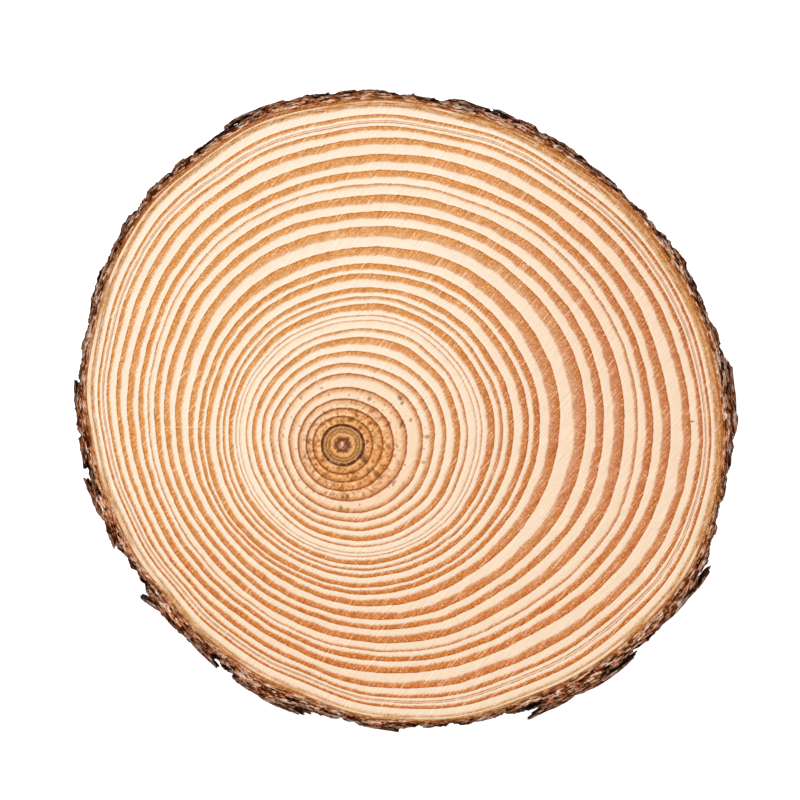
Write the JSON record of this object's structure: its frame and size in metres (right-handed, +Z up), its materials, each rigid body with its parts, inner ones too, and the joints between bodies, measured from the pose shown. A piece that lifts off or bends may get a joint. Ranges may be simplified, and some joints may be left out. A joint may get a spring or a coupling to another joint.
{
  "type": "wood slice",
  "caption": "Round, uneven slice sawn across a softwood trunk, with off-centre growth rings and a rough bark rim, for crafts, displays and table centrepieces.",
  "frame": {"origin": "under the middle of the slice's outline, on the plane it rests on", "axes": "+Z up through the slice's thickness, from one sawn face to the other; +X along its widest direction; the pith lies towards -X and -Y from the middle"},
  "size_m": [0.241, 0.2332, 0.02],
  "materials": {
    "wood": "sawn end grain, lightly sanded, unsealed",
    "bark": "rough, flaking, dry bark"
  },
  "bodies": {
    "root": {"wood": "wood", "bark": "bark"}
  },
  "joints": []
}
